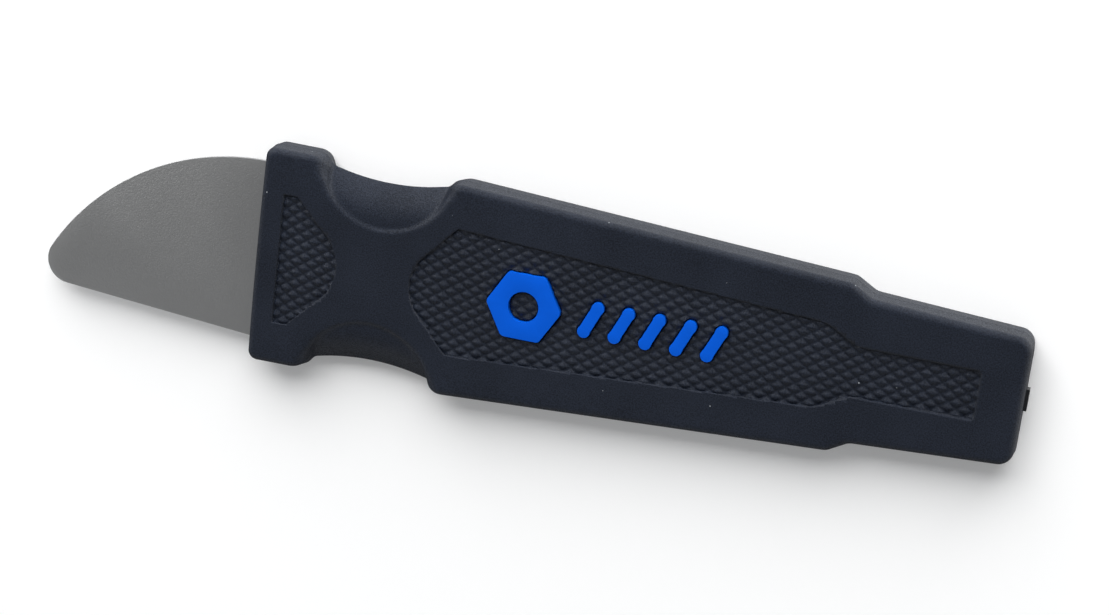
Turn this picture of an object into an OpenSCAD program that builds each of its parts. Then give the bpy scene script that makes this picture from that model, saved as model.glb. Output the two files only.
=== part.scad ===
// Prying knife: a thin spring steel blade in a flat, rubber covered handle.
// Millimetres. The tool lies on its back face: +X runs from the blade's tip to the butt,
// +Y across the handle, and +Z from the back face up to the marked front face.
// The origin is on the back face's plane, under the middle of the overall box.

/* [Overall] */
// Length from the blade's tip to the end of the butt boss
overall_len = 150; // [146:1:160]
// Length of the rubber handle along X
handle_len = 115.2; // [112:0.2:118]
// Thickness of the handle from back face to front face
handle_t = 6.6; // [6.4:0.1:8]
// Radius that rounds the faces into the sides
edge_r = 0.9; // [0.5:0.1:1.2]
// How far each side leans in between the parting line and a face
side_lean = 0.2; // [0.1:0.05:0.3]

/* [Handle outline] */
// Half width of the guard
guard_half = 16.7; // [16.5:0.1:17]
// Length of the guard, from its front to the finger scoops
guard_len = 9; // [8.6:0.1:9.2]
// Corner radius at the guard's front
guard_corner_r = 1.6; // [1:0.1:3]
// Half width of the body at its front corners
body_front_half = 16.4; // [16:0.05:16.5]
// Half width of the body where it steps down
body_rear_half = 12.65; // [12.4:0.05:13]
// Length from the step's start to the butt
tail_len = 26.4; // [25:0.2:28]
// Length of the slope that joins the body to the tail
step_len = 3.4; // [2.6:0.2:4]
// Radius of the two bends in that slope
step_r = 2.4; // [1:0.1:3]
// Half width of the tail at the step
tail_front_half = 11.1; // [10.8:0.05:11.3]
// Half width of the tail at the butt
tail_rear_half = 9.7; // [9.4:0.05:10]
// Corner radius at the butt
butt_corner_r = 2.4; // [1.6:0.1:3]

/* [Finger scoops] */
// Distance from the guard's front to the middle of the scoops
scoop_back = 19.1; // [18.8:0.1:19.4]
// Half width of the handle at the bottom of a scoop, on the parting line
scoop_mid_y = 13.9; // [13.6:0.05:14.2]
// Radius of a scoop on the parting line
scoop_mid_r = 34.8; // [32:0.2:38]
// Distance from the centre line to a scoop's edge on the faces
scoop_face_y = 7.3; // [7:0.1:8]
// Radius of a scoop's edge on the faces
scoop_face_r = 10.1; // [9.8:0.1:10.3]
// Depth of the step at a scoop's edge
scoop_step = 0.35; // [0.2:0.05:0.6]
// Width of a scoop's sloping floor
scoop_floor_w = 5.7; // [5:0.1:6.2]
// Draft of a scoop's walls, in degrees
scoop_draft = 12; // [6:1:18]

/* [Grip panels] */
// Depth of the sunken grip panels
panel_depth = 0.5; // [0.3:0.05:0.6]
// Distance from the guard's front to the front panel
panel1_back = 3.8; // [3.4:0.1:4.2]
// Half width of the front panel
panel1_half = 9.95; // [9.6:0.05:10.2]
// Length of the front panel's straight ends
panel1_strip = 2.2; // [1.8:0.1:2.6]
// Radius of the front panel's round side
panel1_r = 7; // [6.6:0.1:7.2]
// Distance from the guard's front to the main panel's front corners
panel2_back = 31; // [30.6:0.1:31.4]
// Half width of the main panel at its front corners
panel2_front_half = 9.75; // [9.4:0.05:10]
// Radius of the main panel's round front
panel2_r = 6.55; // [6:0.05:6.8]
// Half width of the main panel where it narrows
panel2_rear_half = 6.45; // [6.2:0.05:6.8]
// Half width of the panel's narrow strip
panel2_tail_half = 3.7; // [3.4:0.05:4]
// Length over which the main panel narrows
panel2_narrow_len = 7.2; // [6:0.2:8]
// Gap between the narrow strip's end and the butt
panel2_end_gap = 6.5; // [6:0.1:8]

/* [Blade] */
// Thickness of the spring steel blade
blade_t = 0.6; // [0.4:0.05:1]
// Half width of the blade where it enters the guard
blade_half = 13.7; // [13.4:0.05:14]
// Radius of the blade's curved upper edge
blade_arc_r = 38.7; // [37:0.1:41]
// Radius of the rounded tip
blade_tip_r = 3.65; // [2.5:0.05:4.5]
// Slope of the straight lower edge, in degrees
blade_low_angle = 4.56; // [3:0.02:6]
// Depth of the full width blade inside the guard
shoulder_len = 6; // [5:0.2:6.2]
// Half width of the tang
tang_half = 6; // [5:0.1:6.4]
// Length of the tang behind the shoulder
tang_len = 31; // [28:0.5:33]

/* [Core] */
// Thickness of rubber over the core on each face
skin_t = 1.4; // [1.2:0.05:1.6]
// Half width of the core inside the guard
core_head_half = 14.2; // [14.05:0.05:14.4]
// Half width of the core between the scoops
core_neck_half = 8.5; // [8:0.1:9]
// Radius of the holes that let the rubber join through the core
window_r = 2.4; // [1.6:0.1:2.8]
// Width of the boss that shows in the butt
boss_w = 3.2; // [2.4:0.1:5]
// Thickness of the boss that shows in the butt
boss_t = 1.4; // [1:0.1:3]
// How far the boss stands out of the butt
boss_proud = 0.4; // [0.2:0.05:0.6]
// Radius of the locating pegs
peg_r = 1.2; // [0.8:0.1:1.5]

/* [Rivets] */
// Radius of a rivet's shank
rivet_r = 1.5; // [1:0.1:1.8]
// Radius of a rivet's flat head
rivet_head_r = 2.6; // [2.2:0.1:2.8]
// Thickness of a rivet's flat head
rivet_head_t = 0.5; // [0.4:0.05:0.7]

/* [Mark] */
// Radius over the corners of the badge
badge_r = 5.7; // [5:0.1:6]
// Radius of the badge's rounded corners
badge_corner_r = 0.8; // [0.5:0.1:1.2]
// Radius of the hole in the badge
badge_hole_r = 2.3; // [1.6:0.1:2.8]
// Distance from the guard's front to the badge's centre
badge_back = 42.15; // [41:0.05:43]
// Number of slanted bars
bar_count = 5; // [3:1:6]
// Width of a bar
bar_w = 1.9; // [1.4:0.1:2.2]
// Height of a bar across the handle
bar_h = 5.6; // [4.5:0.1:6]
// Lean of the bars, in degrees
bar_lean = 24; // [10:1:30]
// Distance between the bars
bar_pitch = 4.6; // [4:0.1:4.8]
// Distance from the badge's centre to the first bar
bar_start = 10.2; // [9.5:0.1:11]
// How far the mark stands above the front face
mark_proud = 0.15; // [0.05:0.05:0.2]
// Thickness of rubber under the mark
mark_seat = 0.4; // [0.3:0.05:0.5]

/* [Hidden] */
$fn = 64;
eps = 0.01;

mid_z = handle_t / 2;
end_x = overall_len / 2;
butt_x = end_x - boss_proud;
guard_x = butt_x - handle_len;
tip_x = end_x - overall_len;
step_x = butt_x - tail_len;
tail_x = step_x + step_len;
scoop_x = guard_x + scoop_back;
body_x = scoop_x + scoop_face_r;
far_y = 2 * guard_half;

// Points on an arc about a centre, from one angle to another.
function arc(centre, radius, from, to, steps) =
    [for (i = [0:steps]) let (a = from + (to - from) * i / steps)
        centre + radius * [cos(a), sin(a)]];

// An outline's upper half from front to back, closed by its mirror image. A point on the
// centre line isn't repeated.
function both_sides(upper) =
    concat(upper, [for (i = [len(upper) - 1:-1:0]) if (upper[i].y > 0) [upper[i].x, -upper[i].y]]);

// Handle: each corner is [centre x, centre y, radius, first angle, last angle], seen from the
// front face. A negative radius is an inner corner. Each level is [height, inset].
body_angle = 90 - atan((body_front_half - body_rear_half) / (step_x - body_x));
tail_angle = 90 - atan((tail_front_half - tail_rear_half) / (butt_x - tail_x));
step_angle = 90 - atan((body_rear_half - tail_front_half) / step_len) - 12;
function corner(x, y, r, from, to) =
    [x - r * cos((from + to) / 2), y - r * sin((from + to) / 2), r, from, to];
corners = [
    [guard_x + guard_corner_r, guard_half - guard_corner_r, guard_corner_r, 180, 90],
    corner(body_x, body_front_half, guard_half, 90, body_angle),
    corner(step_x + 0.3, body_rear_half, step_r, body_angle, step_angle),
    corner(tail_x - 0.3, tail_front_half, -step_r, step_angle, tail_angle),
    [butt_x - butt_corner_r, tail_rear_half - butt_corner_r, butt_corner_r, tail_angle, 0],
];
function handle_ring(inset, z) = let (upper = [for (c = corners, i = [0:corner_steps])
        let (a = c[3] + (c[4] - c[3]) * i / corner_steps)
            [c[0], c[1]] + (c[2] - inset) * [cos(a), sin(a)]])
    [for (p = both_sides(upper)) [p.x, p.y, z]];
corner_steps = 6;
edge_steps = 3;
half_levels = concat(
    [for (i = [0:edge_steps]) let (a = 90 * i / edge_steps)
        [edge_r * (1 - cos(a)), side_lean + edge_r * (1 - sin(a))]],
    [[mid_z, 0]]
);
handle_rings = concat(
    [for (l = half_levels) handle_ring(l[1], l[0])],
    [for (i = [edge_steps:-1:0]) handle_ring(half_levels[i][1], handle_t - half_levels[i][0])]
);

// Scoops: a drafted round wall, and a floor that slopes down to the parting line. The slope is 0
// at the floor's inner edge and 1 on the parting line.
scoop_cols = 20;
scoop_centre_y = scoop_face_y + scoop_face_r;
function circle_y(centre_y, radius, x) = centre_y - sqrt(max(0, radius * radius - x * x));
function scoop_depth(slope) = scoop_step + (mid_z - scoop_step) * slope * slope;
function scoop_ring(depth, slope, z) = let (wall_r = scoop_face_r - depth * tan(scoop_draft)) concat(
    [for (i = [0:scoop_cols]) let (x = wall_r * sin(180 * i / scoop_cols - 90))
        [x, max(
            circle_y(scoop_centre_y, wall_r, x),
            circle_y(scoop_mid_y + scoop_mid_r, scoop_mid_r, x) - scoop_floor_w * (1 - slope)), z]],
    [[wall_r, far_y, z], [-wall_r, far_y, z]]
);
scoop_slopes = [0.2, 0.4, 0.6, 0.8];
scoop_rings = concat(
    [scoop_ring(0, -1, -1), scoop_ring(0, -1, 0), scoop_ring(scoop_step, -1, scoop_step)],
    [for (f = scoop_slopes) let (d = scoop_depth(f)) scoop_ring(d, f, d)],
    [scoop_ring(mid_z, 1, mid_z)],
    [for (i = [len(scoop_slopes) - 1:-1:0]) let (f = scoop_slopes[i], d = scoop_depth(f))
        scoop_ring(d, f, handle_t - d)],
    [scoop_ring(scoop_step, -1, handle_t - scoop_step), scoop_ring(0, -1, handle_t)],
    [scoop_ring(0, -1, handle_t + 1)]
);

// Grip panels, seen from the front face.
panel1_x = guard_x + panel1_back;
panel1_touch = acos(panel1_r / panel1_half);
panel1_outline = concat(
    [[panel1_x, panel1_half]],
    [[panel1_x + panel1_strip, panel1_half]],
    arc([panel1_x + panel1_strip, 0], panel1_r, 90 - panel1_touch, panel1_touch - 90, 24),
    [[panel1_x + panel1_strip, -panel1_half]],
    [[panel1_x, -panel1_half]]
);
panel2_x = guard_x + panel2_back;
panel2_touch = acos(panel2_r / panel2_front_half);
panel2_end_x = butt_x - panel2_end_gap;
panel2_narrow_x = tail_x - panel2_narrow_len;
panel2_drop = panel2_rear_half - panel2_tail_half;
panel2_outline = both_sides(concat(
    arc([panel2_x, 0], panel2_r, 180, 90 + panel2_touch, 12),
    [[panel2_x, panel2_front_half]],
    [for (i = [0:12]) [
        panel2_narrow_x + panel2_narrow_len * i / 12,
        panel2_tail_half + panel2_drop * (1 + cos(180 * i / 12)) / 2]],
    [[panel2_end_x, panel2_tail_half]]
));

// Blade: the tip's centre lies one tip radius inside both the arc and the straight edge.
blade_low = [sin(blade_low_angle), cos(blade_low_angle)];
blade_run = [-cos(blade_low_angle), sin(blade_low_angle)];
blade_root_low = [guard_x, -blade_half];
tip_centre_x = tip_x + blade_tip_r;
tip_run = (guard_x + blade_tip_r * blade_low.x - tip_centre_x) / cos(blade_low_angle);
tip_centre = blade_root_low + blade_tip_r * blade_low + tip_run * blade_run;
arc_centre_x = guard_x - 0.35;
arc_gap_r = blade_arc_r - blade_tip_r;
arc_centre_y = tip_centre.y - sqrt(arc_gap_r * arc_gap_r - pow(arc_centre_x - tip_centre.x, 2));
arc_centre = [arc_centre_x, arc_centre_y];
tip_on_arc = arc_centre + (tip_centre - arc_centre) * blade_arc_r / arc_gap_r;
tip_on_low = tip_centre - blade_tip_r * blade_low;
shoulder_x = guard_x + shoulder_len;
tang_x = shoulder_x + tang_len;
rivet_xs = [shoulder_x + 8, tang_x - 5];

// Core, from front to back.
core_z = [skin_t, handle_t - skin_t];
core_front_x = guard_x + 2;
core_head_x = guard_x + guard_len - 1.6;
core_body_x = body_x + 4;
core_end_x = butt_x - 2;
core_side = 3.6;
core_outline = both_sides([
    [core_front_x, core_head_half],
    [core_head_x, core_head_half],
    [core_head_x + 2.5, core_neck_half],
    [core_body_x - 3, core_neck_half],
    [core_body_x, body_front_half - core_side - 0.4],
    [step_x - 1, body_rear_half - core_side],
    [tail_x, tail_front_half - core_side],
    [core_end_x, tail_rear_half - core_side],
]);
window_xs = [tang_x + 13, tang_x + 29, tang_x + 45];
peg_xs = [tang_x + 6, tang_x + 37, tang_x + 60];
peg_h = 1.2;
peg_gap = 0.1;

// Mark.
badge_x = guard_x + badge_back;
mark_z = core_z[1] + mark_seat;
mark_h = handle_t + mark_proud - mark_z;

// A closed solid through a stack of rings, from the lowest to the highest.
module stack(rings) {
    count = len(rings[0]);
    last = len(rings) - 1;
    sides = [for (j = [0:last - 1], i = [0:count - 1])
        let (next = (i + 1) % count)
            [j * count + i, j * count + next, (j + 1) * count + next, (j + 1) * count + i]];
    bottom = [for (i = [count - 1:-1:0]) i];
    top = [for (i = [0:count - 1]) last * count + i];
    polyhedron([for (r = rings) each r], concat([bottom, top], sides));
}

module scoop() {
    translate([scoop_x, 0, 0])
        stack([for (r = scoop_rings) [for (i = [len(r) - 1:-1:0]) r[i]]]);
}

module panels() {
    for (z = [panel_depth - 1, handle_t - panel_depth])
        translate([0, 0, z])
            linear_extrude(1) {
                polygon(panel1_outline);
                polygon(panel2_outline);
            }
}

module blade_profile() {
    intersection() {
        translate(arc_centre)
            circle(r = blade_arc_r, $fn = 180);
        polygon([tip_centre, tip_on_arc + (tip_on_arc - tip_centre), [guard_x, far_y], blade_root_low,
            tip_on_low]);
    }
    translate(tip_centre)
        circle(r = blade_tip_r);
}

module blade_solid() {
    translate([0, 0, mid_z - blade_t / 2])
        linear_extrude(blade_t) {
            blade_profile();
            translate([guard_x - eps, -blade_half])
                square([shoulder_len + eps, 2 * blade_half]);
            translate([shoulder_x - 1, -tang_half])
                square([tang_len + 1, 2 * tang_half]);
        }
}

module rivet_shape(x) {
    translate([x, 0, core_z[0]])
        cylinder(r = rivet_r, h = core_z[1] - core_z[0]);
    for (z = [core_z[0], core_z[1] - rivet_head_t])
        translate([x, 0, z])
            cylinder(r = rivet_head_r, h = rivet_head_t);
}

module core_shape() {
    difference() {
        translate([0, 0, core_z[0]])
            linear_extrude(core_z[1] - core_z[0])
                polygon(core_outline);
        for (x = window_xs)
            translate([x, 0, core_z[0] - 1])
                cylinder(r = window_r, h = handle_t);
    }
    translate([core_end_x - 1, -boss_w / 2, mid_z - boss_t / 2])
        cube([end_x - core_end_x + 1, boss_w, boss_t]);
}

module badge_outline() {
    reach = badge_r - badge_corner_r / cos(30);
    translate([badge_x, 0])
        difference() {
            polygon([for (a = [0:60:300]) each
                arc(reach * [cos(a), sin(a)], badge_corner_r, a - 30, a + 30, 6)]);
            circle(r = badge_hole_r);
        }
}

module bar_outline(i) {
    reach = (bar_h - bar_w) / 2;
    centre = [badge_x + bar_start + i * bar_pitch, 0];
    translate(centre)
        multmatrix([[1, tan(bar_lean), 0, 0], [0, 1, 0, 0], [0, 0, 1, 0]])
            square([bar_w, 2 * reach], center = true);
    for (side = [-1, 1])
        translate(centre + side * reach * [tan(bar_lean), 1])
            circle(r = bar_w / 2);
}

// Sheet steel blade with a narrow tang, punched for the rivets.
module blade() {
    color([0.45, 0.45, 0.46])
        difference() {
            blade_solid();
            for (x = rivet_xs)
                translate([x, 0, 0])
                    cylinder(r = rivet_r, h = handle_t);
        }
}

// Two flat headed rivets that clamp the core halves on the tang.
module tang_rivets() {
    color([0.75, 0.74, 0.7])
        for (x = rivet_xs)
            rivet_shape(x);
}

// Front half of the core, with sockets for the pegs.
module core_front() {
    color([0.12, 0.13, 0.15])
        difference() {
            intersection() {
                core_shape();
                translate([tip_x, -far_y, mid_z])
                    cube([overall_len, 2 * far_y, handle_t]);
            }
            blade_solid();
            for (x = rivet_xs)
                rivet_shape(x);
            for (x = peg_xs)
                translate([x, 0, mid_z - 1])
                    cylinder(r = peg_r + peg_gap, h = 1 + peg_h + peg_gap);
        }
}

// Back half of the core, with the locating pegs.
module core_back() {
    color([0.12, 0.13, 0.15]) {
        difference() {
            intersection() {
                core_shape();
                translate([tip_x, -far_y, mid_z - handle_t])
                    cube([overall_len, 2 * far_y, handle_t]);
            }
            blade_solid();
            for (x = rivet_xs)
                rivet_shape(x);
        }
        for (x = peg_xs)
            translate([x, 0, mid_z - 1])
                cylinder(r = peg_r, h = 1 + peg_h);
    }
}

// Soft rubber cover, moulded over the core, the blade's shoulder and the inlays.
module grip() {
    color([0.14, 0.16, 0.2])
        difference() {
            stack(handle_rings);
            scoop();
            mirror([0, 1, 0])
                scoop();
            panels();
            core_shape();
            blade_solid();
            translate([0, 0, mark_z])
                linear_extrude(handle_t) {
                    badge_outline();
                    for (i = [0:bar_count - 1])
                        bar_outline(i);
                }
        }
}

// Blue badge, a six sided nut shape.
module badge_inlay() {
    color([0.02, 0.36, 0.84])
        translate([0, 0, mark_z])
            linear_extrude(mark_h)
                badge_outline();
}

// Blue slanted bars beside the badge.
module bar_inlays() {
    color([0.02, 0.36, 0.84])
        translate([0, 0, mark_z])
            linear_extrude(mark_h)
                for (i = [0:bar_count - 1])
                    bar_outline(i);
}

blade();
tang_rivets();
core_front();
core_back();
grip();
badge_inlay();
bar_inlays();
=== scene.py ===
"""Looks for the prying knife: moulded rubber grip, steel blade, blue inlays and the studio."""
import math

import bmesh
import bpy
import numpy as np
from mathutils import Matrix, Vector


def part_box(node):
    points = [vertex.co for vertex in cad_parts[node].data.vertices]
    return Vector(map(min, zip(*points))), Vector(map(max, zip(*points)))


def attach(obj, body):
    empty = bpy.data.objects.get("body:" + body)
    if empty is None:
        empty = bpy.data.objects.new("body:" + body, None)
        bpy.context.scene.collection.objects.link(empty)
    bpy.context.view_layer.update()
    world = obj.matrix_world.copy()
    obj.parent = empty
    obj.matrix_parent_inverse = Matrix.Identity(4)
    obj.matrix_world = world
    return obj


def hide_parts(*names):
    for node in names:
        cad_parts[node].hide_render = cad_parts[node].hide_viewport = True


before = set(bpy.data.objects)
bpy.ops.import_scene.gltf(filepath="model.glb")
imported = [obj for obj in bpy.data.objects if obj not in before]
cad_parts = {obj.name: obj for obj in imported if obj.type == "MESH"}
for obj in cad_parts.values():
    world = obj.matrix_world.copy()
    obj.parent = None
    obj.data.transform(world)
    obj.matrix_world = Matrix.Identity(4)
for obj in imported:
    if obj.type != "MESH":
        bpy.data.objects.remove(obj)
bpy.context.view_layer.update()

# ---------------------------------------------------------------- sizes, in millimetres
MM = 0.001


def box_mm(node):
    """Lowest and highest corner of a CAD node, in millimetres."""
    low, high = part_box(node)
    return [c / MM for c in low], [c / MM for c in high]


GRIP_LOW, GRIP_HIGH = box_mm("grip")
BADGE_LOW, BADGE_HIGH = box_mm("badge_inlay")

GUARD_X, BUTT_X = GRIP_LOW[0], GRIP_HIGH[0]
GUARD_HALF = GRIP_HIGH[1]
THICK = GRIP_HIGH[2]
MID = THICK / 2

# Handle outline
GUARD_CORNER_R = 1.6
GUARD_BOW = 0.12
BODY_FRONT_HALF, BODY_REAR_HALF = 16.4, 12.65
TAIL_FRONT_HALF, TAIL_REAR_HALF = 11.1, 9.7
TAIL_LEN, STEP_LEN, STEP_R = 26.4, 3.4, 2.4
STEP_BEND_SHIFT = 0.3
STEP_STEEPNESS = 78
BUTT_CORNER_R = 2.4
EDGE_R = 0.95
SIDE_LEAN = 0.2
CROWN = 0.1
BEAD, BEAD_HALF_W = 0.015, 0.16

# Finger scoops
SCOOP_X = GUARD_X + 19.1
SCOOP_MID_Y, SCOOP_MID_R = 13.9, 34.8
SCOOP_FACE_Y, SCOOP_FACE_R = 7.3, 10.1
SCOOP_STEP, SCOOP_FLOOR_W, SCOOP_DRAFT = 0.35, 5.7, math.radians(12)
SCOOP_RIDGE = 0.12
SCOOP_INNER_SOFT = 0.45
# Rounding of a scoop's rim: its bottom, its sides, then the corners on the guard and the body.
# The pairs after them say how far from the centre line the sides and the corners begin and end.
RIM_LOW_SOFT, RIM_HIGH_SOFT = 0.55, 1.2
GUARD_SOFT, BODY_SOFT = 2.3, 2.2
RIM_SIDE_FROM, RIM_SIDE_TO = 8, 12
CORNER_FROM, CORNER_RUN = 13, 2.5

STEP_X = BUTT_X - TAIL_LEN
TAIL_X = STEP_X + STEP_LEN
BODY_X = SCOOP_X + SCOOP_FACE_R

# Knurled panels: half pitches of the diamonds along X and Y
HALF_PITCH_X, HALF_PITCH_Y = 1.212, 0.865
KNURL_H = 0.46
KNURL_TOP = 0.06
MOAT = 0.2


# ---------------------------------------------------------------- outlines
def arc(cx, cy, radius, start, end, steps):
    """Points on an arc, from one angle to another in degrees."""
    turn = np.radians(np.linspace(start, end, steps + 1))
    return np.column_stack([cx + radius * np.cos(turn), cy + radius * np.sin(turn)])


def mirrored(upper):
    """An outline's upper half from front to back, closed by its mirror image."""
    upper = np.asarray(upper)
    return np.vstack([upper * [1, -1], upper[::-1]])


def bend(x, y, radius, start, end, steps=14):
    """A corner's arc, placed so that its middle lies at (x, y). A negative radius bends inwards."""
    middle = math.radians((start + end) / 2)
    return arc(x - radius * math.cos(middle), y - radius * math.sin(middle), radius, start, end, steps)


def handle_outline():
    """Upper half of the handle's outline at the parting line, before the scoops are cut."""
    body_run = STEP_X - BODY_X
    body_turn = 90 - math.degrees(math.atan((BODY_FRONT_HALF - BODY_REAR_HALF) / body_run))
    tail_turn = 90 - math.degrees(math.atan((TAIL_FRONT_HALF - TAIL_REAR_HALF) / (BUTT_X - TAIL_X)))
    step_turn = STEP_STEEPNESS - math.degrees(math.atan((BODY_REAR_HALF - TAIL_FRONT_HALF) / STEP_LEN))
    bow_y = GUARD_HALF - GUARD_CORNER_R
    bow_r = (bow_y ** 2 + GUARD_BOW ** 2) / (2 * GUARD_BOW)
    bow_turn = math.degrees(math.asin(bow_y / bow_r))
    r = GUARD_CORNER_R
    front = arc(GUARD_X + bow_r, 0, bow_r, 180, 180 - bow_turn, 8)[:-1]
    guard = arc(GUARD_X + GUARD_BOW + r, GUARD_HALF - r, r, 180 - bow_turn, 90, 14)
    body = bend(BODY_X, BODY_FRONT_HALF, GUARD_HALF, 90, body_turn, 4)
    step_out = bend(STEP_X + STEP_BEND_SHIFT, BODY_REAR_HALF, STEP_R, body_turn, step_turn)
    step_in = bend(TAIL_X - STEP_BEND_SHIFT, TAIL_FRONT_HALF, -STEP_R, step_turn, tail_turn)
    b = BUTT_CORNER_R
    butt = arc(BUTT_X - b, TAIL_REAR_HALF - b, b, tail_turn, 0, 14)
    return np.vstack([front, guard, body, step_out, step_in, butt, [[BUTT_X, 0]]])


def touch_angle(radius, half):
    """Angle at which a tangent from a corner at that half width touches the panel's round end."""
    return math.degrees(math.acos(radius / half))


def front_panel_outline():
    """The short knurled panel in the guard, with a round rear side."""
    x, half, strip, radius = GUARD_X + 3.8, 9.95, 2.2, 7.0
    touch = 90 - touch_angle(radius, half)
    round_side = arc(x + strip, 0, radius, touch, 0, 12)
    flat_side = [[x, half], [x + strip, half]]
    return mirrored(np.vstack([flat_side, round_side[:-1], [[x + strip + radius, 0.01]]]))


def main_panel_outline():
    """The long knurled panel, round in front and narrower along the tail."""
    x, half, radius = GUARD_X + 31, 9.75, 6.55
    rear_half, tail_half, narrow_len = 6.45, 3.7, 7.2
    touch = 90 + touch_angle(radius, half)
    round_front = arc(x, 0, radius, 180, touch, 14)
    turn = np.linspace(0, math.pi, 13)
    narrow = np.column_stack([
        TAIL_X - narrow_len + narrow_len * turn / math.pi,
        tail_half + (rear_half - tail_half) * (1 + np.cos(turn)) / 2])
    end_x = BUTT_X - 6.5
    end = [[end_x - 0.3, tail_half - 0.05], [end_x, tail_half - 0.35]]
    return mirrored(np.vstack([round_front[1:], [[x, half]], narrow, end]))


# ---------------------------------------------------------------- the grip as a distance field
def outline_distance(x, y, upper):
    """Signed distance to an outline given by its upper half, negative inside."""
    y = np.abs(y)
    best = np.full(x.shape, np.inf)
    inside = np.zeros(x.shape, bool)
    for (ax, ay), (bx, by) in zip(upper, upper[1:]):
        ex, ey = bx - ax, by - ay
        length = ex * ex + ey * ey
        t = np.clip(((x - ax) * ex + (y - ay) * ey) / length, 0, 1)
        best = np.minimum(best, (x - ax - t * ex) ** 2 + (y - ay - t * ey) ** 2)
        crosses = (ay > y) != (by > y)
        if ey != 0:
            inside ^= crosses & (x < ax + (y - ay) * ex / ey)
    return np.where(inside, -1, 1) * np.sqrt(best)


OUTLINE = handle_outline()


def body_field(x, y, z):
    """The handle with leaning sides, a fine bead on the parting line and rounded edges."""
    off = np.abs(z - MID)
    bead = BEAD * np.clip(1 - off / BEAD_HALF_W, 0, 1)
    side = outline_distance(x, y, OUTLINE) + BEAD - bead + SIDE_LEAN * off / MID
    face = off - MID + CROWN * (y / GUARD_HALF) ** 4
    a, b = side + EDGE_R, face + EDGE_R
    return np.hypot(np.maximum(a, 0), np.maximum(b, 0)) + np.minimum(np.maximum(a, b), 0) - EDGE_R


def soft_max(a, b, width):
    """The larger of two distances, with the crease between them rounded off."""
    blend = np.maximum(width - np.abs(a - b), 0) / width
    return np.maximum(a, b) + blend * blend * width / 4


def scoop_field(x, y, z):
    """Positive where a scoop cuts: a drafted round wall, and a floor sloping to the parting line."""
    along, across = x - SCOOP_X, np.abs(y)
    off = np.hypot(z - MID, SCOOP_RIDGE)
    radius = SCOOP_FACE_R - (MID - off) * math.tan(SCOOP_DRAFT)
    wall = radius - np.hypot(along, across - SCOOP_FACE_Y - SCOOP_FACE_R)
    mid_y = SCOOP_MID_Y + SCOOP_MID_R - np.sqrt(np.maximum(SCOOP_MID_R ** 2 - along ** 2, 0))
    slope = np.clip(1 + (across - mid_y) / SCOOP_FLOOR_W, 0, 1.3)
    depth = SCOOP_STEP + (MID - SCOOP_STEP) * slope * slope
    steep = 2 * (MID - SCOOP_STEP) * slope / SCOOP_FLOOR_W
    floor = (off - MID + depth) / np.hypot(1, steep)
    return -soft_max(-wall * math.cos(SCOOP_DRAFT), -floor, SCOOP_INNER_SOFT)


def with_slope(field, p, step=0.01):
    """A field and its slope at points p."""
    here = field(*p.T)
    steps = step * np.eye(3)
    return here, np.column_stack([(field(*(p + shift).T) - here) / step for shift in steps])


def grip_field(x, y, z):
    """Below zero inside the rubber's outer form."""
    body = body_field(x, y, z)
    near = (np.abs(x - SCOOP_X) < SCOOP_FACE_R + 5) & (body < 4)
    if not near.any():
        return body
    side = np.where(x[near] < SCOOP_X, GUARD_SOFT, BODY_SOFT)
    across = np.abs(y[near])
    soft = np.interp(across, (RIM_SIDE_FROM, RIM_SIDE_TO), (RIM_LOW_SOFT, RIM_HIGH_SOFT))
    soft += (side - RIM_HIGH_SOFT) * np.clip((across - CORNER_FROM) / CORNER_RUN, 0, 1)
    body[near] = soft_max(body[near], scoop_field(x[near], y[near], z[near]), soft)
    return body


def spaced(*stops):
    """Grid lines from (start, spacing) stops up to a last (end, None) stop."""
    lines = []
    for (start, gap), (end, _) in zip(stops, stops[1:]):
        lines.append(np.linspace(start, end, max(1, round((end - start) / gap)), endpoint=False))
    return np.append(np.concatenate(lines), stops[-1][0])


def surface_net(xs, ys, zs, values):
    """Vertices and quads of the zero surface of values on a grid, one vertex per crossed cell."""
    inside = values < 0
    nx, ny, nz = values.shape
    count = np.zeros((nx - 1, ny - 1, nz - 1), int)
    total = np.zeros((nx - 1, ny - 1, nz - 1, 3))
    grid = np.stack(np.meshgrid(xs, ys, zs, indexing="ij"), axis=-1)
    for axis in range(3):
        low = [slice(None)] * 3
        high = [slice(None)] * 3
        low[axis], high[axis] = slice(None, -1), slice(1, None)
        low, high = tuple(low), tuple(high)
        crossed = inside[low] != inside[high]
        f0, f1 = values[low][crossed], values[high][crossed]
        t = (f0 / (f0 - f1))[:, None]
        where = np.argwhere(crossed)
        point = grid[low][crossed] * (1 - t) + grid[high][crossed] * t
        others = [k for k in range(3) if k != axis]
        for da in (0, 1):
            for db in (0, 1):
                cell = where.copy()
                cell[:, others[0]] -= da
                cell[:, others[1]] -= db
                good = np.all((cell >= 0) & (cell < count.shape), axis=1)
                index = tuple(cell[good].T)
                np.add.at(count, index, 1)
                np.add.at(total, index, point[good])
    used = count > 0
    number = np.full(count.shape, -1)
    number[used] = np.arange(used.sum())
    vertices = total[used] / count[used][:, None]
    faces = []
    for axis in range(3):
        low = [slice(1, -1)] * 3
        high = [slice(1, -1)] * 3
        low[axis], high[axis] = slice(None, -1), slice(1, None)
        low, high = tuple(low), tuple(high)
        crossed = inside[low] != inside[high]
        where = np.argwhere(crossed) + [0 if k == axis else 1 for k in range(3)]
        leaving = inside[low][crossed]
        b, c = (axis + 1) % 3, (axis + 2) % 3
        ring = []
        for db, dc in ((0, 0), (1, 0), (1, 1), (0, 1)):
            cell = where.copy()
            cell[:, b] -= db
            cell[:, c] -= dc
            ring.append(number[tuple(cell.T)])
        quad = np.column_stack(ring)
        faces.append(np.where(leaving[:, None], quad, quad[:, ::-1]))
    return vertices, np.vstack(faces)


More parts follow.
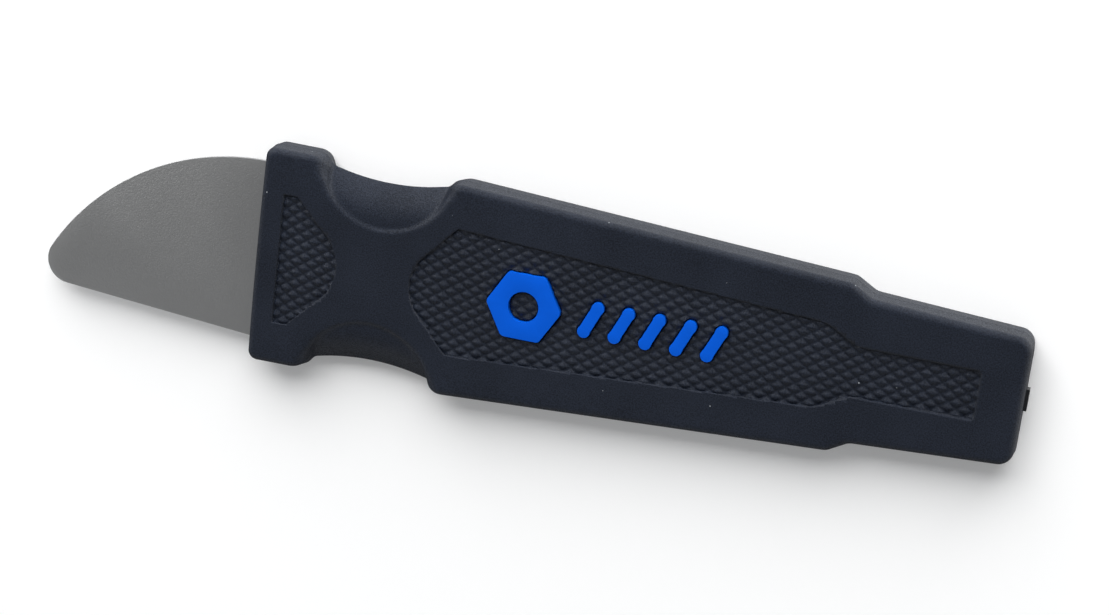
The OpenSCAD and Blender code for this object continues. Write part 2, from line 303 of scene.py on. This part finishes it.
def mesh_object(name, vertices, faces):
    """A new object from millimetre vertices and faces."""
    mesh = bpy.data.meshes.new(name)
    mesh.from_pydata((np.asarray(vertices) * MM).tolist(), [], [list(map(int, f)) for f in faces])
    mesh.validate()
    obj = bpy.data.objects.new(name, mesh)
    bpy.context.collection.objects.link(obj)
    return obj


def grip_form():
    """The smooth outer form of the rubber grip, before the panels are sunk."""
    fine, coarse, margin = 0.3, 0.8, 0.5
    xs = spaced((GUARD_X - margin, fine), (BODY_X + 4, coarse), (STEP_X - 2, fine),
                (TAIL_X + 2, coarse), (BUTT_X - 3.2, fine), (BUTT_X + margin, None))
    half = spaced((0.4, coarse), (6.0, fine), (GUARD_HALF + margin, None))
    low = spaced((-0.3, 0.15), (EDGE_R + 0.3, 0.25), (MID - 0.25, 0.08), (MID - 0.01, None))
    grid = np.meshgrid(xs, half, low, indexing="ij")
    values = grip_field(*(g.ravel() for g in grid)).reshape(grid[0].shape)
    values = np.concatenate([values[:, ::-1], values], axis=1)
    values = np.concatenate([values, values[:, :, ::-1]], axis=2)
    ys = np.concatenate([-half[::-1], half])
    zs = np.concatenate([low, (THICK - low)[::-1]])
    vertices, faces = surface_net(xs, ys, zs, values)
    for _ in range(2):
        off, slope = with_slope(grip_field, vertices)
        length = np.maximum((slope ** 2).sum(axis=1), 0.25)
        vertices -= slope * (np.clip(off / length, -0.2, 0.2))[:, None]
    return mesh_object("grip_rubber", vertices, faces)


# ---------------------------------------------------------------- cutting tools
def carve(obj, cutter, operation="DIFFERENCE"):
    """Applies a boolean to obj and removes the cutter."""
    modifier = obj.modifiers.new("carve", "BOOLEAN")
    modifier.operation, modifier.object, modifier.solver = operation, cutter, "MANIFOLD"
    bpy.context.view_layer.update()
    evaluated = obj.evaluated_get(bpy.context.evaluated_depsgraph_get())
    result = bpy.data.meshes.new_from_object(evaluated)
    old = obj.data
    obj.modifiers.clear()
    obj.data = result
    bpy.data.meshes.remove(old)
    used = cutter.data
    bpy.data.objects.remove(cutter)
    bpy.data.meshes.remove(used)


def welded(node, name):
    """A copy of a CAD node with its split corners joined again."""
    bm = bmesh.new()
    bm.from_mesh(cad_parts[node].data)
    bmesh.ops.remove_doubles(bm, verts=bm.verts, dist=1e-7)
    mesh = bpy.data.meshes.new(name)
    bm.to_mesh(mesh)
    bm.free()
    obj = bpy.data.objects.new(name, mesh)
    bpy.context.collection.objects.link(obj)
    return obj


def grown(node, gap):
    """A cutter as wide as an upright CAD node plus a gap all round, reaching above the face."""
    obj = welded(node, node + "_cutter")
    bm = bmesh.new()
    bm.from_mesh(obj.data)
    bm.normal_update()
    top = max(v.co.z for v in bm.verts)
    moves = {}
    for vertex in bm.verts:
        out = Vector((0, 0, 0))
        for face in vertex.link_faces:
            if abs(face.normal.z) < 0.5:
                out += face.normal
        moves[vertex] = out.normalized() * gap * MM
    for vertex, move in moves.items():
        vertex.co += move
        if vertex.co.z > top - 1e-5:
            vertex.co.z = (THICK + 1) * MM
    bm.to_mesh(obj.data)
    bm.free()
    return obj


def prism(name, outlines, z0, z1):
    """Upright solids from closed outlines."""
    vertices, faces = [], []
    for outline in outlines:
        first, count = len(vertices), len(outline)
        vertices += [(x, y, z0) for x, y in outline] + [(x, y, z1) for x, y in outline]
        low_ring = [first + i for i in range(count)]
        high_ring = [first + count + i for i in range(count)]
        faces += [low_ring[::-1], high_ring]
        faces += [[low_ring[i], low_ring[(i + 1) % count], high_ring[(i + 1) % count], high_ring[i]]
                  for i in range(count)]
    return mesh_object(name, vertices, faces)


def knurl_height(u, v):
    """Height of the diamonds from 0 in the grooves to 1 on the points."""
    a = np.abs((u + v + 1) % 2 - 1)
    b = np.abs((u - v + 1) % 2 - 1)
    far = (a ** 7 + b ** 7) ** (1 / 7)
    height = 1 - np.minimum(far, 1)
    return np.where(height > 0.86, 0.86 + (height - 0.86) * 0.35, height)


def knurl_cutter(outlines):
    """Everything above the diamonds of the sunken panels."""
    fine = 4
    x0, x1 = min(o[:, 0].min() for o in outlines), max(o[:, 0].max() for o in outlines)
    y1 = max(o[:, 1].max() for o in outlines)
    i0, i1 = math.floor(x0 / HALF_PITCH_X - 1), math.ceil(x1 / HALF_PITCH_X + 1)
    j1 = math.ceil(y1 / HALF_PITCH_Y + 1)
    us, vs = np.arange(i0 * fine, i1 * fine + 1) / fine, np.arange(-j1 * fine, j1 * fine + 1) / fine
    u, v = np.meshgrid(us, vs, indexing="ij")
    floor = THICK - KNURL_TOP - KNURL_H
    z = floor + KNURL_H * knurl_height(u, v)
    points = np.column_stack([(u * HALF_PITCH_X).ravel(), (v * HALF_PITCH_Y).ravel(), z.ravel()])
    nu, nv = len(us), len(vs)
    index = np.arange(nu * nv).reshape(nu, nv)
    p00, p10, p01, p11 = index[:-1, :-1], index[1:, :-1], index[:-1, 1:], index[1:, 1:]
    mid_u, mid_v = (us[:-1] + us[1:]) / 2, (vs[:-1] + vs[1:]) / 2
    falling = (np.floor(mid_u)[:, None] + np.floor(mid_v)[None, :]) % 2 == 0
    faces = []
    for keep, one, two in ((falling, (p00, p01, p10), (p10, p01, p11)),
                           (~falling, (p00, p01, p11), (p00, p11, p10))):
        for triangle in (one, two):
            faces += np.column_stack([p[keep] for p in triangle]).tolist()
    edge = np.concatenate([index[:-1, 0], index[-1, :-1], index[:0:-1, -1], index[0, :0:-1]])
    lid = len(points) + np.arange(len(edge))
    lid_points = points[edge].copy()
    lid_points[:, 2] = THICK + 1
    points = np.vstack([points, lid_points])
    after = np.roll(np.arange(len(edge)), -1)
    faces += np.column_stack([edge, edge[after], lid[after], lid]).tolist()
    faces.append(lid.tolist())
    cutter = mesh_object("knurl_cutter", points, faces)
    carve(cutter, prism("panel_prism", outlines, floor - 1, THICK + 0.8), "INTERSECT")
    return cutter


def turned_over(obj):
    """A copy of a cutter for the back face."""
    bm = bmesh.new()
    bm.from_mesh(obj.data)
    for vertex in bm.verts:
        vertex.co.z = THICK * MM - vertex.co.z
    bmesh.ops.reverse_faces(bm, faces=bm.faces)
    mesh = bpy.data.meshes.new("back_" + obj.name)
    bm.to_mesh(mesh)
    bm.free()
    copy = bpy.data.objects.new(mesh.name, mesh)
    bpy.context.collection.objects.link(copy)
    return copy


def keep_largest_shell(obj):
    """Drops every shell but the largest: the cuts leave slivers in the clearances inside."""
    form = bmesh.new()
    form.from_mesh(obj.data)
    shells, seen = [], set()
    for start in form.verts:
        if start in seen:
            continue
        seen.add(start)
        shell, reached = [], [start]
        while reached:
            vertex = reached.pop()
            shell.append(vertex)
            for edge in vertex.link_edges:
                other = edge.other_vert(vertex)
                if other not in seen:
                    seen.add(other)
                    reached.append(other)
        shells.append(shell)
    shells.sort(key=len)
    for shell in shells[:-1]:
        bmesh.ops.delete(form, geom=shell, context="VERTS")
    form.to_mesh(obj.data)
    form.free()


def shaded(obj, angle=34):
    """Smooth shading, with creases kept sharp."""
    obj.data.shade_smooth()
    obj.data.set_sharp_from_angle(angle=math.radians(angle))


def bevelled(node, name, width, segments):
    """A CAD node's shape with its sharp edges rounded off."""
    obj = welded(node, name)
    modifier = obj.modifiers.new("edge", "BEVEL")
    modifier.width, modifier.segments = width * MM, segments
    modifier.limit_method, modifier.angle_limit = "ANGLE", math.radians(50)
    bpy.context.view_layer.update()
    result = bpy.data.meshes.new_from_object(obj.evaluated_get(bpy.context.evaluated_depsgraph_get()))
    obj.modifiers.clear()
    obj.data = result
    shaded(obj)
    return obj


# ---------------------------------------------------------------- pieces
grip = grip_form()
knurl = knurl_cutter([front_panel_outline(), main_panel_outline()])
back_knurl = turned_over(knurl)
carve(grip, knurl)
carve(grip, back_knurl)
for node in ("badge_inlay", "bar_inlays"):
    carve(grip, grown(node, MOAT))
for node in ("core_front", "core_back", "blade", "tang_rivets"):
    carve(grip, welded(node, node + "_space"))
keep_largest_shell(grip)
shaded(grip)
blade = bevelled("blade", "blade_sheet", 0.1, 2)
badge = bevelled("badge_inlay", "badge_blue", 0.3, 4)
bars = bevelled("bar_inlays", "bars_blue", 0.34, 4)


# ---------------------------------------------------------------- materials
def new_material(name, **values):
    """A material with its Principled shader's sockets set."""
    material = bpy.data.materials.new(name)
    material.use_nodes = True
    shader = material.node_tree.nodes["Principled BSDF"]
    for socket, value in values.items():
        shader.inputs[socket.replace("_", " ")].default_value = value
    return material, material.node_tree, shader


def node_of(tree, kind, inputs=(), **settings):
    """A new shader node, with each input either linked or set."""
    node = tree.nodes.new("ShaderNode" + kind)
    for key, value in settings.items():
        setattr(node, key, value)
    for key, value in dict(inputs).items():
        if hasattr(value, "node"):
            tree.links.new(value, node.inputs[key])
        else:
            node.inputs[key].default_value = value
    return node


def noise(tree, where, size, detail=3.0):
    """Noise with grains of a size in millimetres."""
    made = node_of(tree, "TexNoise", {"Vector": where, "Scale": 1 / (size * MM), "Detail": detail})
    return made.outputs["Fac"]


def mapped(tree, value, low, high, out_low, out_high):
    """A value moved from one range to another and held inside it."""
    made = node_of(tree, "MapRange", {
        "Value": value, "From Min": low, "From Max": high, "To Min": out_low, "To Max": out_high})
    return made.outputs["Result"]


def object_place(tree):
    """Texture coordinates in the object's own frame."""
    return node_of(tree, "TexCoord").outputs["Object"]


def bump(tree, shader, height, distance):
    """Roughens a shader's normal by a height map of a depth in millimetres."""
    made = node_of(tree, "Bump", {"Height": height, "Distance": distance * MM, "Strength": 1.0})
    tree.links.new(made.outputs["Normal"], shader.inputs["Normal"])


def mixed(tree, factor, first, second):
    """A blend of two colours."""
    made = node_of(tree, "Mix", {"Factor": factor}, data_type="RGBA")
    for socket, value in (("A", first), ("B", second)):
        target = [s for s in made.inputs if s.name == socket and s.type == "RGBA"][0]
        if hasattr(value, "node"):
            tree.links.new(value, target)
        else:
            target.default_value = (*value, 1)
    return [s for s in made.outputs if s.type == "RGBA"][0]


def rubber_material():
    """Soft touch rubber: matt, faintly mottled, with a fine grain and stray specks of dust."""
    material, tree, shader = new_material("grip_rubber", Specular_IOR_Level=RUBBER_SHINE)
    where = object_place(tree)
    grain = noise(tree, where, 0.2, 3)
    mottle = mapped(tree, noise(tree, where, 9, 4), 0.3, 0.7, 0, 0.25)
    speckle = mapped(tree, grain, 0.35, 0.65, 0, 0.75)
    both = node_of(tree, "Math", {0: mottle, 1: speckle}, operation="ADD").outputs[0]
    colour = mixed(tree, both, RUBBER_DARK, RUBBER_LIGHT)
    cell = node_of(tree, "TexVoronoi", {"Vector": where, "Scale": 1 / (2.6 * MM)})
    near = mapped(tree, cell.outputs["Distance"], 0.03, 0.045, 1, 0)
    pick = node_of(tree, "SeparateColor", {"Color": cell.outputs["Color"]})
    rare = mapped(tree, pick.outputs["Red"], 0.7, 0.72, 0, 1)
    speck = node_of(tree, "Math", {0: near, 1: rare}, operation="MULTIPLY").outputs[0]
    tree.links.new(mixed(tree, speck, colour, (0.3, 0.32, 0.34)), shader.inputs["Base Color"])
    rough = mapped(tree, grain, 0.35, 0.65, RUBBER_ROUGH + 0.1, RUBBER_ROUGH - 0.1)
    tree.links.new(rough, shader.inputs["Roughness"])
    bump(tree, shader, grain, 0.07)
    return material


def steel_material(name, colour, roughness):
    """Bead blasted steel with a fine even grain."""
    material, tree, shader = new_material(name, Metallic=1.0)
    where = object_place(tree)
    cloud = mapped(tree, noise(tree, where, 14, 3), 0.3, 0.7, 0, 1)
    dark = tuple(0.93 * c for c in colour)
    tree.links.new(mixed(tree, cloud, dark, colour), shader.inputs["Base Color"])
    grain = noise(tree, where, 0.25, 3)
    rough = mapped(tree, grain, 0.3, 0.7, roughness - 0.05, roughness + 0.05)
    tree.links.new(rough, shader.inputs["Roughness"])
    bump(tree, shader, grain, 0.05)
    return material


def plastic_material(name, colour, roughness, shine=0.5):
    """Moulded plastic with slight flow marks."""
    material, tree, shader = new_material(name, Specular_IOR_Level=shine)
    where = object_place(tree)
    flow = mapped(tree, noise(tree, where, 4, 3), 0.3, 0.7, 0, 1)
    dark = tuple(0.94 * c for c in colour)
    tree.links.new(mixed(tree, flow, dark, colour), shader.inputs["Base Color"])
    grain = noise(tree, where, 0.25, 2)
    rough = mapped(tree, grain, 0.3, 0.7, roughness - 0.05, roughness + 0.05)
    tree.links.new(rough, shader.inputs["Roughness"])
    bump(tree, shader, grain, 0.006)
    return material


RUBBER_DARK, RUBBER_LIGHT = (0.0005, 0.0020, 0.0060), (0.0150, 0.0200, 0.0335)
RUBBER_SHINE, RUBBER_ROUGH = 0.4, 0.5

rubber = rubber_material()
blade_steel = steel_material("blade_steel", (0.56, 0.56, 0.56), 0.45)
rivet_steel = steel_material("rivet_steel", (0.62, 0.61, 0.58), 0.3)
nylon = plastic_material("core_nylon", (0.010, 0.011, 0.013), 0.45)
blue = plastic_material("inlay_blue", (0.0008, 0.092, 0.60), 0.42, 0.12)


def dress(obj, material):
    """Gives an object one material."""
    obj.data.materials.clear()
    obj.data.materials.append(material)


for piece, node, material, slot in (
        (grip, "grip", rubber, "grip_rubber"), (blade, "blade", blade_steel, "blade_steel"),
        (badge, "badge_inlay", blue, "inlay_plastic"), (bars, "bar_inlays", blue, "inlay_plastic")):
    dress(piece, material)
    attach(piece, "root")
    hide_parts(node)
for node, material in (("core_front", nylon), ("core_back", nylon), ("tang_rivets", rivet_steel)):
    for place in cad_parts[node].material_slots:
        place.material = material

# ---------------------------------------------------------------- studio
FLOOR_SIZE, FLOOR_Z = 3.0, -0.00002
bpy.ops.mesh.primitive_plane_add(size=FLOOR_SIZE, location=(0, 0, FLOOR_Z))
floor = bpy.context.object
floor.name = "studio_floor"
paper, _, _ = new_material(
    "light_table", Base_Color=(0.9, 0.9, 0.9, 1), Roughness=0.6, Specular_IOR_Level=0.2,
    Emission_Color=(1, 1, 1, 1), Emission_Strength=0.11)
dress(floor, paper)
# Reflections see the lower half of the world below instead of this floor.
floor.visible_glossy = False


def softbox(name, azimuth, elevation, distance, width, height, watts, glossy=False):
    """An area light at a compass angle from +X round towards +Y, aimed at the handle.

    A glossy one only adds highlights; the others only add soft light and shadow.
    """
    turn, rise = math.radians(azimuth), math.radians(elevation)
    away = Vector((math.cos(turn) * math.cos(rise), math.sin(turn) * math.cos(rise), math.sin(rise)))
    light = bpy.data.lights.new(name, "AREA")
    light.shape, light.size, light.size_y = "RECTANGLE", width, height
    light.energy = watts
    lamp = bpy.data.objects.new(name, light)
    lamp.location = away * distance
    lamp.rotation_euler = away.to_track_quat("Z", "Y").to_euler()
    lamp.visible_glossy = glossy
    lamp.visible_diffuse = not glossy
    bpy.context.collection.objects.link(lamp)


softbox("softbox_far", 97, 30, 1.6, 2.0, 1.9, 57)
softbox("softbox_right", 35, 18, 1.2, 0.9, 0.5, 4.5, glossy=True)
softbox("softbox_left", 145, 18, 1.2, 0.9, 0.5, 4.5, glossy=True)

world = bpy.data.worlds.new("studio")
world.use_nodes = True
bpy.context.scene.world = world
sky = world.node_tree
backdrop = sky.nodes["Background"]
heading = node_of(sky, "TexCoord").outputs["Generated"]
height = node_of(sky, "SeparateXYZ", {"Vector": heading}).outputs["Z"]
# Above the horizon the sky darkens with height. Below it the world is bright on the light's side.
above = mapped(sky, height, 0.0, 0.5, 1.0, 0.24)
towards_light = {0: heading, 1: (0.45, 0.89, 0)}
lit_side = node_of(sky, "VectorMath", towards_light, operation="DOT_PRODUCT").outputs["Value"]
table = mapped(sky, lit_side, -0.15, 0.35, 0.1, 1.4)
is_above = mapped(sky, height, -0.05, 0.0, 0, 1)
choice = node_of(sky, "Mix", {"Factor": is_above, "A": table, "B": above}, data_type="FLOAT")
glow = choice.outputs["Result"]
sky.links.new(glow, backdrop.inputs["Strength"])
backdrop.inputs["Color"].default_value = (0.97, 0.985, 1, 1)

# ---------------------------------------------------------------- camera
badge_centre = Vector([(a + b) / 2 for a, b in zip(BADGE_LOW, BADGE_HIGH)])
badge_centre.z = THICK
look = Vector((-0.2162, -0.2837, -0.9342)).normalized()
camera_offset = Vector((85.34, 106.60, 348.13))
camera_up = Vector((-0.1880, 0.9511, -0.2453))
lens = bpy.data.cameras.new("camera")
lens.lens, lens.sensor_width, lens.sensor_fit = 83.15, 36, "HORIZONTAL"
lens.clip_start, lens.clip_end = 0.01, 20
camera = bpy.data.objects.new("camera", lens)
right = look.cross(camera_up).normalized()
up = right.cross(look)
turn = Matrix((right, up, -look)).transposed().to_4x4()
camera.matrix_world = Matrix.Translation((badge_centre + camera_offset) * MM) @ turn
bpy.context.collection.objects.link(camera)
bpy.context.scene.camera = camera
bpy.context.scene.view_settings.view_transform = "Standard"
